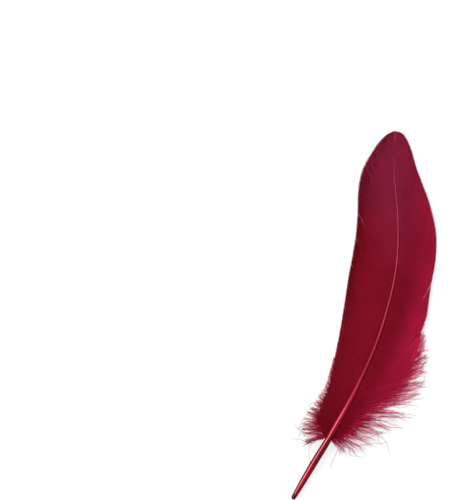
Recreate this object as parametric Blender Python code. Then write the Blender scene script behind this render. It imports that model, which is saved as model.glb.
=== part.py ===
"""A dyed goose feather, lying on a table with its upper side showing.

The origin is on the table, z = 0, in the middle of the flat on which the quill rests. The tip
points along +Y. A place on the feather is given by its distance along the shaft from the quill
end and its distance across, which is negative on the left side. Sizes are in millimetres up to
the point where a mesh is made.
"""

import math

import bmesh
import bpy
import numpy as np

MM = 0.001

# Driving dimensions.
LENGTH = 180.0  # straight from the quill end to the tip
SWEEP = 19.7  # how far the shaft bows out to the right
ARCH = 9.0  # height of the shaft's middle above the table
HALF_WIDTH = 22.0  # the widest that the vane reaches from the shaft
QUILL_RADIUS = 1.63  # half of the quill's thickness at its fullest
VANE_THICKNESS = 0.55  # the driving thickness of the web, which the shaft's own thickness adds to

# The shaft seen from above: share of LENGTH, share of SWEEP.
SWEEP_CURVE = (
    (0.0, 0.0), (0.140, 0.345), (0.287, 0.716), (0.430, 0.950), (0.540, 1.0),
    (0.647, 0.950), (0.787, 0.655), (0.893, 0.295), (1.0, 0.030),
)
# The shaft seen from the side: share of its own length, share of ARCH.
ARCH_CURVE = (
    (0.0, 0.150), (0.054, 0.166), (0.110, 0.265), (0.180, 0.450), (0.270, 0.690), (0.410, 0.930),
    (0.520, 1.0), (0.630, 0.930), (0.740, 0.720), (0.845, 0.420), (0.920, 0.205), (1.0, 0.030),
)
# The shaft's half width: share of its own length, share of QUILL_RADIUS.
TAPER_CURVE = (
    (0.0, 0.66), (0.020, 0.80), (0.050, 0.92), (0.110, 1.0), (0.155, 0.99), (0.195, 0.87),
    (0.245, 0.69), (0.345, 0.53), (0.490, 0.405), (0.610, 0.32), (0.760, 0.235), (0.860, 0.165),
    (0.930, 0.10), (0.985, 0.045),
)
# How far the vane's surface has dropped at HALF_WIDTH: share of the shaft's length, millimetres.
CAMBER_CURVE = ((0.15, 4.0), (0.32, 7.2), (0.50, 10.0), (0.70, 9.8), (0.86, 7.4), (1.0, 5.5))
CAMBER_POWER = 1.7  # above 1 the vane leaves the shaft level and curls down towards its edge

# The barbs of each side, from the foot of the vane to the tip of the feather. Root along the
# shaft, tip along it and tip across, as shares of the shaft's length and of HALF_WIDTH; the share
# of the barb that is hooked into the web; degrees by which it leaves the shaft more steeply than
# it runs overall. The down at the foot turns outward, so its degrees are negative.
LEFT_BARBS = (
    (0.176, 0.118, 0.40, 0.16, -22), (0.184, 0.150, 0.66, 0.34, -20), (0.197, 0.188, 0.75, 0.58, -16),
    (0.216, 0.236, 0.70, 0.76, -8), (0.242, 0.290, 0.66, 0.88, 0), (0.275, 0.345, 0.72, 0.95, 8),
    (0.310, 0.402, 0.80, 0.99, 12), (0.350, 0.462, 0.88, 1.0, 13), (0.390, 0.524, 0.95, 1.0, 13),
    (0.430, 0.590, 1.00, 1.0, 13), (0.500, 0.665, 0.995, 1.0, 13), (0.575, 0.742, 0.935, 1.0, 13),
    (0.645, 0.803, 0.890, 1.0, 13), (0.715, 0.855, 0.835, 1.0, 13), (0.785, 0.903, 0.710, 1.0, 13),
    (0.845, 0.945, 0.500, 1.0, 13), (0.895, 0.975, 0.320, 1.0, 13), (0.935, 0.993, 0.150, 1.0, 13),
    (0.965, 1.0, 0.0, 1.0, 13),
)
RIGHT_BARBS = (
    (0.176, 0.150, 0.46, 0.16, -22), (0.186, 0.176, 0.82, 0.30, -22), (0.200, 0.216, 1.02, 0.40, -20),
    (0.216, 0.270, 1.22, 0.38, -18), (0.238, 0.325, 1.36, 0.42, -15), (0.266, 0.374, 1.385, 0.58, -12),
    (0.298, 0.428, 1.28, 0.72, -6), (0.332, 0.478, 1.07, 0.85, 4), (0.360, 0.522, 0.88, 0.93, 11),
    (0.390, 0.556, 0.855, 1.0, 13), (0.425, 0.592, 0.815, 1.0, 13), (0.460, 0.627, 0.795, 1.0, 13),
    (0.505, 0.675, 0.820, 1.0, 13), (0.570, 0.742, 0.810, 1.0, 13), (0.635, 0.800, 0.710, 1.0, 13),
    (0.710, 0.860, 0.580, 1.0, 13), (0.780, 0.909, 0.470, 1.0, 13), (0.845, 0.950, 0.375, 1.0, 13),
    (0.898, 0.981, 0.260, 1.0, 13), (0.937, 0.996, 0.135, 1.0, 13), (0.965, 1.0, 0.0, 1.0, 13),
)
FULL_BEND_FROM = math.radians(13.0)  # a barb that runs closer to the shaft than this bends less

VANE_ROWS = 60  # barbs of each side that the solid's web follows, beside those at the splits
ROWS_TO_THE_TIP = 1.2  # above 1 the rows stand closer together towards the tip
VANE_STEPS = 7  # faces along each of them
THINNEST_SHARE = 0.55  # share of VANE_THICKNESS that the web keeps where the shaft ends
SHAFT_SHARE = 0.8  # further share that it gains where the shaft is as thick as the quill
EDGE_THINNING = 0.45  # share of the web's thickness that is lost at its free edge

# Where the web has split between two barbs: side, root as a share, share of the barb that is still closed.
SPLITS = (
    (-1, 0.641, 0.71), (-1, 0.558, 0.85), (-1, 0.480, 0.85), (-1, 0.388, 0.80),
    (1, 0.462, 0.69), (1, 0.362, 0.86),
)
SPLIT_WIDTH = 0.006  # along the shaft, as a share

# The down beyond the web's foot, as locks that reach the barbs' tips.
DOWN_END = 0.335  # root of the last lock, as a share of the shaft's length
LOCKS_A_SIDE = 26
LOCK_STEPS = 5
LOCK_HALF_WIDTH = 0.95
LOCK_THICKNESS = 0.42
LOCK_LENGTHS = (1.0, 0.84, 0.70)  # the three layers' shares of the free part of the barb
LOCK_LOFTS = (0.3, 1.7, 3.2)  # how far each layer lifts above the line of the web
LOCK_REST = 0.30  # height of the lowest locks above the table
LOCK_HOLD = 0.1  # how far inside the web's edge a lock starts, as a share of the barb
LOCK_ARC = 0.8 * math.pi  # the part of a sine wave that a lock's rise and fall follow
LOCK_SWELL = ((0.0, 0.35, 0.75, 1.0), (0.45, 1.0, 0.7, 0.08))  # places along it, shares of its half width
LOCK_THINNING = ((0.0, 0.6, 1.0), (1.0, 0.9, 0.35))  # places along it, shares of its thickness
LENGTH_RANGE = (0.94, 1.0)  # how uneven the locks of a layer are in length
LOFT_RANGE = (0.8, 1.1)  # and in how far they lift
LOCK_SEED = 7

SHAFT_SIDES = 12
SHAFT_RINGS = 58
RINGS_TO_THE_QUILL = 1.12  # above 1 the rings stand closer together towards the quill end
SHAFT_END_SHARE = 0.985
QUILL_END_RINGS = ((0.55, 0.80), (0.95, 0.42))  # how far past the end, and the share of its thickness
RACHIS_HEIGHT = 1.12  # the shaft's height over its width where the web grows
RACHIS_FROM = (0.12, 0.30)  # shares of the shaft between which it takes that height
GROOVE_SHARE = 0.30  # depth of the groove under the rachis, as a share of its half width
GROOVE_FROM = (0.185, 0.23)  # shares of the shaft between which the groove deepens
WEB_ABOVE_AXIS = 0.15  # where the web meets the shaft, as a share of the shaft's half height
REST_END = 9.5  # the quill lies flat on the table from its end up to here
REST_MIDDLE = 4.5  # the origin, under the middle of that flat
TOUCH_SOFTNESS = 0.5  # how gradually the web's edge comes level with the table
TOUCH_DEPTH = 0.03  # how much of that is taken off so that the edge truly lies on the table

DYE = (0.21, 0.006, 0.02, 1.0)  # dark crimson
DYE_ROUGHNESS = 0.55


def smooth(curve, at):
    """Values at the given positions of a smooth curve through the points of a table."""
    table = np.asarray(curve, float)
    x, y = table[:, 0], table[:, 1:]
    slope = np.gradient(y, x, axis=0)
    at = np.clip(np.atleast_1d(at), x[0], x[-1])
    i = np.clip(np.searchsorted(x, at) - 1, 0, len(x) - 2)
    width = (x[i + 1] - x[i])[:, None]
    t = (at - x[i])[:, None] / width
    return (
        y[i] * (1 + 2 * t) * (1 - t) ** 2
        + slope[i] * width * t * (1 - t) ** 2
        + y[i + 1] * t**2 * (3 - 2 * t)
        + slope[i + 1] * width * t**2 * (t - 1)
    )


class Shaft:
    """The line of the shaft, its height above the table and its thickness."""

    def __init__(self, samples=721):
        y = np.linspace(0.0, 1.0, samples)
        self.plan = np.column_stack([smooth(SWEEP_CURVE, y)[:, 0] * SWEEP, y * LENGTH])
        steps = np.hypot(*np.diff(self.plan, axis=0).T)
        self.along = np.concatenate([[0.0], np.cumsum(steps)])
        self.length = float(self.along[-1])
        tangent = np.gradient(self.plan, self.along, axis=0)
        self.tangent = tangent / np.hypot(tangent[:, 0], tangent[:, 1])[:, None]
        self.plan -= [np.interp(REST_MIDDLE, self.along, self.plan[:, k]) for k in (0, 1)]

    def plan_at(self, along, across):
        """X and Y of places on the feather. Past either end the shaft's line runs on straight."""
        inside = np.clip(along, 0.0, self.length)
        foot = np.column_stack([np.interp(inside, self.along, self.plan[:, k]) for k in (0, 1)])
        heading = np.column_stack([np.interp(inside, self.along, self.tangent[:, k]) for k in (0, 1)])
        right = np.column_stack([heading[:, 1], -heading[:, 0]])
        return foot + right * np.asarray(across)[:, None] + heading * (along - inside)[:, None]

    def half_width(self, along):
        """Half of the shaft's thickness seen from above."""
        return smooth(TAPER_CURVE, along / self.length)[:, 0] * QUILL_RADIUS

    def half_height(self, along):
        """Half of the shaft's thickness seen from the side."""
        return self.half_width(along) * np.interp(along / self.length, RACHIS_FROM, (1.0, RACHIS_HEIGHT))

    def axis_height(self, along):
        """Height of the shaft's middle. The quill's end lies on the table."""
        risen = smooth(ARCH_CURVE, along / self.length)[:, 0] * ARCH
        lying = self.half_height(along) * math.cos(math.pi / SHAFT_SIDES)
        return np.where(along < REST_END, lying, np.maximum(risen, lying))


SHAFT = Shaft()


def web_thickness(along, share):
    """Thickness of the web: thinner towards the tip and towards the free ends of the barbs."""
    stoutness = SHAFT.half_height(along) / QUILL_RADIUS
    return VANE_THICKNESS * (THINNEST_SHARE + SHAFT_SHARE * stoutness) * (1.0 - EDGE_THINNING * share)


def underside(along, across, thickness):
    """Height of the web's lower face: cambered down from the shaft, and level where it meets the table."""
    at_shaft = SHAFT.axis_height(along) + WEB_ABOVE_AXIS * SHAFT.half_height(along) - 0.5 * thickness
    drop = smooth(CAMBER_CURVE, along / SHAFT.length)[:, 0] * (np.abs(across) / HALF_WIDTH) ** CAMBER_POWER
    free = at_shaft - drop
    softened = 0.5 * (free + np.sqrt(free**2 + TOUCH_SOFTNESS**2))
    return np.maximum(softened - TOUCH_DEPTH, 0.0)


def hooked_share(barbs, root):
    """Share of the barb with this root that is hooked into the web."""
    return min(1.0, float(smooth(barbs, root)[0][2]))


def barb(barbs, side, root, shares):
    """Distances along and across of places on one barb, an arc from its root to its tip."""
    along, across, _, bend = smooth(barbs, root)[0]
    start = np.array([root * SHAFT.length, 0.0])
    end = np.array([along * SHAFT.length, across * HALF_WIDTH])
    chord = end - start
    heading = math.atan2(chord[1], chord[0])
    heading += math.radians(bend) * min(1.0, heading / FULL_BEND_FROM)
    middle = start + 0.5 * math.hypot(*chord) * np.array([math.cos(heading), math.sin(heading)])
    line = np.outer((1 - shares) ** 2, start) + np.outer(2 * shares * (1 - shares), middle)
    line += np.outer(shares**2, end)
    return line[:, 0], side * line[:, 1]


def finished(name, mesh):
    """The bmesh as a scene object with outward faces and no loose points."""
    for vert in [v for v in mesh.verts if not v.link_faces]:
        mesh.verts.remove(vert)
    bmesh.ops.recalc_face_normals(mesh, faces=mesh.faces[:])
    data = bpy.data.meshes.new(name)
    mesh.to_mesh(data)
    mesh.free()
    made = bpy.data.objects.new(name, data)
    bpy.context.scene.collection.objects.link(made)
    return made


def closed_plate(name, top, bottom, quads):
    """A mesh object of the two faces of a sheet and the walls round its edges."""
    mesh = bmesh.new()
    upper = [mesh.verts.new(p) for p in top * MM]
    lower = [mesh.verts.new(p) for p in bottom * MM]
    edges = set()
    for quad in quads:
        mesh.faces.new([upper[i] for i in quad])
        mesh.faces.new([lower[i] for i in reversed(quad)])
        edges.update(zip(quad, quad[1:] + quad[:1]))
    for a, b in sorted(edges):
        if (b, a) not in edges:
            mesh.faces.new([upper[b], upper[a], lower[a], lower[b]])
    return finished(name, mesh)


def closed_tube(name, rings, loose_end_first):
    """A mesh object of the skin through rings of points, with both ends closed."""
    mesh = bmesh.new()
    if loose_end_first:
        rings = rings[::-1]
    verts = [[mesh.verts.new(p) for p in np.asarray(ring) * MM] for ring in rings]
    for ring, after in zip(verts, verts[1:]):
        for k, vert in enumerate(ring):
            following = (k + 1) % len(ring)
            mesh.faces.new([vert, ring[following], after[following], after[k]])
    mesh.faces.new(verts[0])
    mesh.faces.new(verts[-1])
    return finished(name, mesh)


def web_rows():
    """Roots of the barbs that the web follows: even, closer near the tip, and a narrow pair at each split."""
    first, last = LEFT_BARBS[0][0], LEFT_BARBS[-1][0]
    spread = np.linspace(0.0, 1.0, VANE_ROWS)
    roots = first + (last - first) * (1.0 - (1.0 - spread) ** ROWS_TO_THE_TIP)
    splits = np.array([root for _, root, _ in SPLITS])
    clear = np.abs(roots[:, None] - splits).min(axis=1) > SPLIT_WIDTH
    return np.sort(np.concatenate([roots[clear], splits - 0.5 * SPLIT_WIDTH, splits + 0.5 * SPLIT_WIDTH]))


def closed_steps(side, low_root, high_root):
    """How many faces of the strip between two rows are there: all of them, or fewer at a split."""
    for split_side, root, closed in SPLITS:
        if side == split_side and low_root <= root < high_root:
            return round(closed * VANE_STEPS)
    return VANE_STEPS


def make_web():
    """Both webs as one sheet, its rows following the hooked part of the barbs, with the splits left open."""
    roots = web_rows()
    index, places = {}, []
    for row, root in enumerate(roots):
        for side, barbs in ((-1, LEFT_BARBS), (1, RIGHT_BARBS)):
            shares = np.linspace(0.0, hooked_share(barbs, root), VANE_STEPS + 1)
            along, across = barb(barbs, side, root, shares)
            for step in range(VANE_STEPS + 1):
                on_shaft = step == 0 or row == len(roots) - 1
                key = (row, 0 if on_shaft else side, step)
                if key not in index:
                    index[key] = len(places)
                    places.append((along[step], across[step], step / VANE_STEPS))
                index[(row, side, step)] = index[key]
    along, across, share = np.array(places).T
    thickness = web_thickness(along, share)
    low = underside(along, across, thickness)
    plan = SHAFT.plan_at(along, across)
    quads = []
    for row in range(len(roots) - 1):
        for side in (-1, 1):
            for step in range(closed_steps(side, roots[row], roots[row + 1])):
                quad = [
                    index[(row, side, step)], index[(row, side, step + 1)],
                    index[(row + 1, side, step + 1)], index[(row + 1, side, step)],
                ]
                quads.append(quad if side > 0 else quad[::-1])
    return closed_plate("web", np.column_stack([plan, low + thickness]), np.column_stack([plan, low]), quads)


def make_shaft():
    """Quill and rachis: a tapering tube with a rounded end, a level foot and a groove underneath."""
    spread = np.linspace(0.0, 1.0, SHAFT_RINGS)
    along = SHAFT.length * SHAFT_END_SHARE * spread**RINGS_TO_THE_QUILL
    wide, high, axis = SHAFT.half_width(along), SHAFT.half_height(along), SHAFT.axis_height(along)
    groove = np.interp(along / SHAFT.length, GROOVE_FROM, (0.0, GROOVE_SHARE)) * high
    turns = 2 * math.pi * (np.arange(SHAFT_SIDES) + 0.5) / SHAFT_SIDES - 0.5 * math.pi
    rings = []
    for back, shrink in reversed(QUILL_END_RINGS):
        plan = SHAFT.plan_at(np.full(SHAFT_SIDES, -back), wide[0] * shrink * np.cos(turns))
        rings.append(np.column_stack([plan, axis[0] + high[0] * shrink * np.sin(turns)]))
    for place, half, tall, centre, cut in zip(along, wide, high, axis, groove):
        plan = SHAFT.plan_at(np.full(SHAFT_SIDES, place), half * np.cos(turns))
        height = centre + tall * np.sin(turns)
        height[[0, -1]] += cut
        rings.append(np.column_stack([plan, height]))
    return closed_tube("shaft", rings, loose_end_first=False)


def make_lock(name, barbs, side, root, length, loft):
    """One tuft of down: a flattened, tapering strand from the web's edge to the barb's tip."""
    hooked = hooked_share(barbs, root)
    start = max(0.0, hooked - LOCK_HOLD)
    grown = np.linspace(0.0, 1.0, LOCK_STEPS + 1)
    shares = start + (hooked + (1.0 - hooked) * length - start) * grown
    along, across = barb(barbs, side, root, shares)
    thickness = web_thickness(along, 1.0)
    line = underside(along, across, thickness) + 0.5 * thickness
    height = np.maximum(line + loft * np.sin(LOCK_ARC * grown), LOCK_REST)
    heading = np.gradient(np.column_stack([along, across]), axis=0)
    heading /= np.hypot(heading[:, 0], heading[:, 1])[:, None]
    swell = LOCK_HALF_WIDTH * np.interp(grown, *LOCK_SWELL)
    thick = 0.5 * LOCK_THICKNESS * np.interp(grown, *LOCK_THINNING)
    rings = []
    for i in range(LOCK_STEPS + 1):
        aside = np.array([-heading[i, 1], heading[i, 0]]) * swell[i]
        shifts = np.array([aside, (0.0, 0.0), -aside, (0.0, 0.0)])
        plan = SHAFT.plan_at(along[i] + shifts[:, 0], across[i] + shifts[:, 1])
        rings.append(np.column_stack([plan, height[i] + thick[i] * np.array([0.0, 1.0, 0.0, -1.0])]))
    return closed_tube(name, rings, loose_end_first=True)


def make_down():
    """The locks of both sides, in three layers, longest where the barbs are."""
    rng = np.random.default_rng(LOCK_SEED)
    made = []
    for side, word, barbs in ((-1, "left", LEFT_BARBS), (1, "right", RIGHT_BARBS)):
        for number, root in enumerate(np.linspace(barbs[0][0], DOWN_END, LOCKS_A_SIDE)):
            layer = number % len(LOCK_LOFTS)
            length = LOCK_LENGTHS[layer] * rng.uniform(*LENGTH_RANGE)
            loft = LOCK_LOFTS[layer] * rng.uniform(*LOFT_RANGE)
            made.append(make_lock(f"lock_{word}_{number:02d}", barbs, side, root, length, loft))
    return made


def dyed_material():
    """The dye over a satin surface."""
    material = bpy.data.materials.new("dyed_feather")
    material.use_nodes = True
    shader = material.node_tree.nodes["Principled BSDF"]
    shader.inputs["Base Color"].default_value = DYE
    shader.inputs["Roughness"].default_value = DYE_ROUGHNESS
    shader.inputs["Metallic"].default_value = 0.0
    return material


def join_to(body, others):
    """Fuses the other solids into the body with Boolean unions and puts them away as helpers."""
    for other in others:
        union = body.modifiers.new("join_" + other.name, "BOOLEAN")
        union.operation = "UNION"
        union.solver = "EXACT"
        union.object = other
        other.hide_render = True
        other.display_type = "WIRE"


def main():
    """Builds the feather as one solid."""
    for old in list(bpy.data.objects):
        bpy.data.objects.remove(old, do_unlink=True)
    feather = make_shaft()
    feather.name = "feather"
    join_to(feather, [make_web(), *make_down()])
    feather.data.materials.append(dyed_material())


main()
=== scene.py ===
"""The fine structure and finish of a dyed goose feather that lies on a white table.

A place on the feather is given by its distance along the shaft from the quill end and its
distance across, which is negative on the left side. Sizes are in millimetres up to the point
where a mesh, a lamp or the camera is made; from there on they are in metres.
"""

import logging
import math
from dataclasses import dataclass, field, replace
from enum import Enum

import bpy
import numpy as np
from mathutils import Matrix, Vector


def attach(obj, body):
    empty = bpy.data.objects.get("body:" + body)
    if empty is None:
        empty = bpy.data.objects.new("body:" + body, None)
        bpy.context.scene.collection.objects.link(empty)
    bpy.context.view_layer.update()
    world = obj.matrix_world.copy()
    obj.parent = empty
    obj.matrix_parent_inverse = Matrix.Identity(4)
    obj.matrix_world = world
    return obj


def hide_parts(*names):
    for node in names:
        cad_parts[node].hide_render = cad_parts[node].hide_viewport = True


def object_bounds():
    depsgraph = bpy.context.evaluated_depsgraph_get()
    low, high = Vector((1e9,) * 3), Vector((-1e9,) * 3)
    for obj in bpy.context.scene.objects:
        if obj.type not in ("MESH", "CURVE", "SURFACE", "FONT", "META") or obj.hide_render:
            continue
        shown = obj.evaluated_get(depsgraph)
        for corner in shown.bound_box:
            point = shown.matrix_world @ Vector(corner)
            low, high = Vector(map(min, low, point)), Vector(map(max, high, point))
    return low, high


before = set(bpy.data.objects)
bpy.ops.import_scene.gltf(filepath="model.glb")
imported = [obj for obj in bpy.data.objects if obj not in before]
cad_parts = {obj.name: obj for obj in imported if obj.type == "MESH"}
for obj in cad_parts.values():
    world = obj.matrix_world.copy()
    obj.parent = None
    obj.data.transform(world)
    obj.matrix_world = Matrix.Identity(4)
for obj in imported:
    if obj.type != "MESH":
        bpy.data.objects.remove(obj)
cad_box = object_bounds()

MM = 0.001
LOG = logging.getLogger("feather")

PIXELS_WIDE = 462
PIXELS_HIGH = 500
QUILL_END_PIXEL = (293.6, 498.0)
TIP_PIXEL = (394.0, 129.8)

STRAND_MAP = "strand_mm"
BAKE_MAP = "OFBake"

Array = np.ndarray
Random = np.random.Generator
Material = bpy.types.Material
Tree = bpy.types.NodeTree
Node = bpy.types.Node
Socket = bpy.types.NodeSocket
Sockets = bpy.types.bpy_prop_collection
Span = tuple[float, float]
Triple = tuple[float, float, float]


class Side(Enum):
    """The two webs, as the upper side of the feather is seen with its tip up."""

    LEFT = -1
    RIGHT = 1


@dataclass(frozen=True)
class Curve:
    """A smooth curve through the rows of a table: where, then one or more values."""

    rows: tuple[tuple[float, ...], ...]

    def at(self, where: Array) -> Array:
        """Reads the curve.

        Args:
            where: Positions of any shape.

        Returns:
            The values there, with one more axis than the positions.
        """
        table = np.asarray(self.rows, float)
        x, y = table[:, 0], table[:, 1:]
        slope = np.gradient(y, x, axis=0)
        place = np.clip(np.asarray(where, float), x[0], x[-1])
        i = np.clip(np.searchsorted(x, place) - 1, 0, len(x) - 2)
        width = (x[i + 1] - x[i])[..., None]
        t = (place - x[i])[..., None] / width
        return (
            y[i] * (1 + 2 * t) * (1 - t) ** 2
            + slope[i] * width * t * (1 - t) ** 2
            + y[i + 1] * t**2 * (3 - 2 * t)
            + slope[i + 1] * width * t**2 * (t - 1)
        )


def ease(x: Array) -> Array:
    """A smooth step from 0 to 1 as x goes from 0 to 1."""
    x = np.clip(x, 0.0, 1.0)
    return x * x * (3 - 2 * x)


def wander(x: Array, period: float, rng: Random, swings: int = 4) -> Array:
    """A smooth random line.

    Args:
        x: Where it is read.
        period: The length of its longest swing, in the units of x.
        rng: The source of its phases.
        swings: How many ever shorter swings it adds up.

    Returns:
        Values between about -1 and 1.
    """
    total = np.zeros_like(np.asarray(x, float))
    shorter = 0.61
    for k in range(swings):
        total += np.sin(2 * math.pi * (x / (period * shorter**k) + rng.random()))
    return total / (1.0 + 0.5 * swings)


def paired(first: Array, second: Array) -> Array:
    """Two arrays, stretched to one shape and put side by side on a last axis of two."""
    return np.stack(np.broadcast_arrays(first, second), axis=-1)


def distances(line: Array) -> Array:
    """Distances along a line of points, from its first point."""
    return np.concatenate([[0.0], np.cumsum(np.linalg.norm(np.diff(line, axis=0), axis=1))])


def tube_quads(number: Array, order: tuple[int, ...] = (0, 1, 2, 3)) -> Array:
    """Finds the quads between the rings of tubes.

    Args:
        number: The numbers of the points, with rings and sides on the last two axes.
        order: The order of a quad's corners.

    Returns:
        Quads as rows of point numbers.
    """
    after = np.roll(number, -1, axis=-1)
    corners = (number[..., :-1, :], after[..., :-1, :], after[..., 1:, :], number[..., 1:, :])
    return np.stack([corners[k] for k in order], axis=-1).reshape(-1, 4)


def put(name: str, data: bpy.types.ID) -> bpy.types.Object:
    """Makes an object and puts it into the scene.

    Args:
        name: Its name.
        data: Its mesh, lamp or camera.

    Returns:
        The object.
    """
    made = bpy.data.objects.new(name, data)
    bpy.context.scene.collection.objects.link(made)
    return made


@dataclass
class Skin:
    """A mesh in the making: points, faces and the two maps of its corners."""

    points: list[Array] = field(default_factory=list)
    quads: list[Array] = field(default_factory=list)
    triangles: list[Array] = field(default_factory=list)
    strand: list[Array] = field(default_factory=list)
    chart: list[Array] = field(default_factory=list)
    count: int = 0

    def add(
        self, points: Array, strand: Array, chart: Array,
        quads: Array | None = None, triangles: Array | None = None,
    ) -> None:
        """Adds points and the faces between them.

        Args:
            points: Places in millimetres, on a last axis of three.
            strand: Each point's place on its strand: millimetres along, then the strand's own number.
            chart: Each point's place in the unit square.
            quads: Faces of four, as rows of point numbers that start at 0 here.
            triangles: Faces of three, in the same way.
        """
        self.points.append(points.reshape(-1, 3))
        self.strand.append(strand.reshape(-1, 2))
        self.chart.append(chart.reshape(-1, 2))
        for kept, faces in ((self.quads, quads), (self.triangles, triangles)):
            if faces is not None:
                kept.append(faces + self.count)
        self.count += len(self.points[-1])

    def piece(self, name: str, material: Material) -> bpy.types.Object:
        """Makes the piece, which rides on the feather and stands for its solid.

        Args:
            name: The piece's name.
            material: Its material.

        Returns:
            The new object, shaded smooth.
        """
        points = np.concatenate(self.points) * MM
        quads = np.concatenate(self.quads) if self.quads else np.zeros((0, 4), int)
        triangles = np.concatenate(self.triangles) if self.triangles else np.zeros((0, 3), int)
        corners = np.concatenate([quads.ravel(), triangles.ravel()]).astype(np.int32)
        sides = np.repeat(np.array([4, 3], np.int32), (len(quads), len(triangles)))
        starts = np.cumsum(sides, dtype=np.int32) - sides
        mesh = bpy.data.meshes.new(name)
        mesh.vertices.add(len(points))
        mesh.vertices.foreach_set("co", points.astype(np.float32).ravel())
        mesh.loops.add(len(corners))
        mesh.loops.foreach_set("vertex_index", corners)
        mesh.polygons.add(len(starts))
        mesh.polygons.foreach_set("loop_start", starts)
        mesh.update(calc_edges=True)
        for label, values in ((STRAND_MAP, self.strand), (BAKE_MAP, self.chart)):
            layer = mesh.uv_layers.new(name=label)
            layer.uv.foreach_set("vector", np.concatenate(values)[corners].astype(np.float32).ravel())
        mesh.validate()
        mesh.shade_smooth()
        mesh.materials.append(material)
        made = put(name, mesh)
        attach(made, "root")
        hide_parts("feather")
        LOG.info("%s: %d points, %d triangles", name, len(points), 2 * len(quads) + len(triangles))
        return made


@dataclass(frozen=True)
class Graph:
    """A node tree in the making."""

    tree: Tree

    def node(self, kind: str, inputs: dict[str | int, object] | None = None, **settings: object) -> Node:
        """Adds a node.

        Args:
            kind: The node's type.
            inputs: For each input to set, a value or the output that feeds it.
            settings: The node's own properties.

        Returns:
            The new node.
        """
        made = self.tree.nodes.new(kind)
        for name, value in settings.items():
            setattr(made, name, value)
        return self.feed(made, inputs or {})

    def feed(self, node: Node, inputs: dict[str | int, object]) -> Node:
        """Gives inputs of a node their values or the outputs that feed them.

        Args:
            node: The node.
            inputs: A value or an output for each input to set.

        Returns:
            The same node.
        """
        for name, value in inputs.items():
            if isinstance(value, Socket):
                self.tree.links.new(value, node.inputs[name])
            else:
                node.inputs[name].default_value = value
        return node

    def read_map(self, name: str) -> tuple[Socket, Socket]:
        """Reads both numbers of a UV map."""
        where = self.node("ShaderNodeUVMap", uv_map=name).outputs["UV"]
        return tuple(self.node("ShaderNodeSeparateXYZ", {0: where}).outputs)[:2]

    def ramp(
        self, factor: Socket, start: float, end: float, low: float = 0.0, high: float = 1.0
    ) -> Socket:
        """Maps a factor smoothly from one range to another.

        Args:
            factor: What is mapped.
            start: Where the low value ends.
            end: Where the high value starts.
            low: The value below the start.
            high: The value above the end.

        Returns:
            The mapped value.
        """
        inputs = {"Value": factor, "From Min": start, "From Max": end, "To Min": low, "To Max": high}
        return self.node("ShaderNodeMapRange", inputs, interpolation_type="SMOOTHSTEP").outputs["Result"]

    def blend(self, factor: object, first: object, second: object, way: str = "MIX") -> Socket:
        """Mixes two colours.

        Args:
            factor: A value or an output: how much of the second there is.
            first: The first colour, as three numbers or an output.
            second: The second colour, in the same way.
            way: How they mix.

        Returns:
            The mixed colour.
        """
        first, second = ((*side, 1.0) if isinstance(side, tuple) else side for side in (first, second))
        inputs = {0: factor, 6: first, 7: second}
        return self.node("ShaderNodeMix", inputs, data_type="RGBA", blend_type=way).outputs[2]

    def layers(self, colour: object, *over: tuple[object, ...]) -> Socket:
        """Lays colours over a first one.

        Args:
            colour: The first colour.
            over: Each of the others, then the ramps whose product says how much of it there is.

        Returns:
            The colour on top.
        """
        for second, *ramps in over:
            factor = self.times(*(self.ramp(*values) for values in ramps))
            colour = self.blend(factor, colour, second)
        return colour

    def maths(self, operation: str, first: object, second: object = 0.0) -> Socket:
        """Does one step of arithmetic with values or outputs."""
        return self.node("ShaderNodeMath", {0: first, 1: second}, operation=operation).outputs[0]

    def times(self, product: object, *factors: object) -> Socket:
        """Multiplies values or outputs.

        Args:
            product: The first of them.
            factors: The others.

        Returns:
            Their product.
        """
        for factor in factors:
            product = self.maths("MULTIPLY", product, factor)
        return product

    def away(self, value: Socket, centre: float) -> Socket:
        """Measures how far a value is from a centre."""
        return self.maths("ABSOLUTE", self.maths("SUBTRACT", value, centre))

    def place(self, group: Tree, *inputs: object) -> Sockets:
        """Places a node group, gives it its inputs in their order and returns its outputs."""
        return self.node("ShaderNodeGroup", dict(enumerate(inputs)), node_tree=group).outputs


def new_group(
    name: str, inputs: dict[str, tuple[str, object]], outputs: dict[str, str]
) -> tuple[Graph, Sockets, Node]:
    """Starts a shader node group.

    Args:
        name: The group's name.
        inputs: For each input, its kind of socket and its first value.
        outputs: For each output, its kind of socket.

    Returns:
        The group's graph, what it is given and the node that takes what it puts out.
    """
    tree = bpy.data.node_groups.new(name, "ShaderNodeTree")
    for label, (kind, value) in inputs.items():
        tree.interface.new_socket(label, in_out="INPUT", socket_type=kind).default_value = value
    for label, kind in outputs.items():
        tree.interface.new_socket(label, in_out="OUTPUT", socket_type=kind)
    graph = Graph(tree)
    return graph, graph.node("NodeGroupInput").outputs, graph.node("NodeGroupOutput")


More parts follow.
